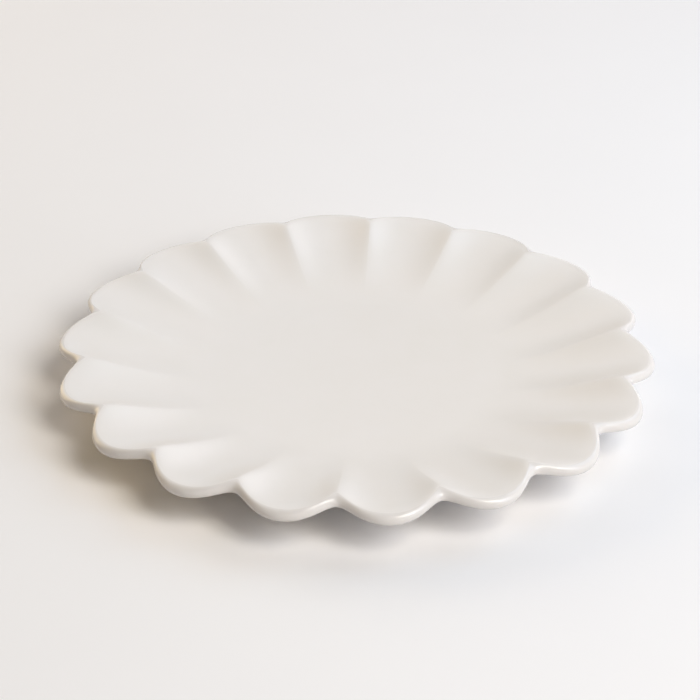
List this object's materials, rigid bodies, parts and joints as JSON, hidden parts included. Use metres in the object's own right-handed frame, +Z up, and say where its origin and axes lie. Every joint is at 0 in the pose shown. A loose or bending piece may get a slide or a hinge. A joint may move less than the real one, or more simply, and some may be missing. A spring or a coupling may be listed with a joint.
{
  "type": "scalloped dessert plate",
  "caption": "Round stoneware dessert plate with hollow flutes that end in a scalloped rim, a flat well and a low foot ring, in satin white glaze.",
  "frame": {"origin": "centre of the foot ring's resting face, the bottom centre of the plate's box", "axes": "+Z up, out of the well; +X through the middle of a petal, so that the box's other side along Y ends in notches"},
  "size_m": [0.21, 0.207, 0.0195],
  "materials": {
    "clay": "bare fired stoneware, matt",
    "glaze": "satin white glaze"
  },
  "bodies": {
    "root": {"stoneware_body": "clay", "glaze_coat": "glaze", "recess_glaze": "glaze"}
  },
  "joints": []
}
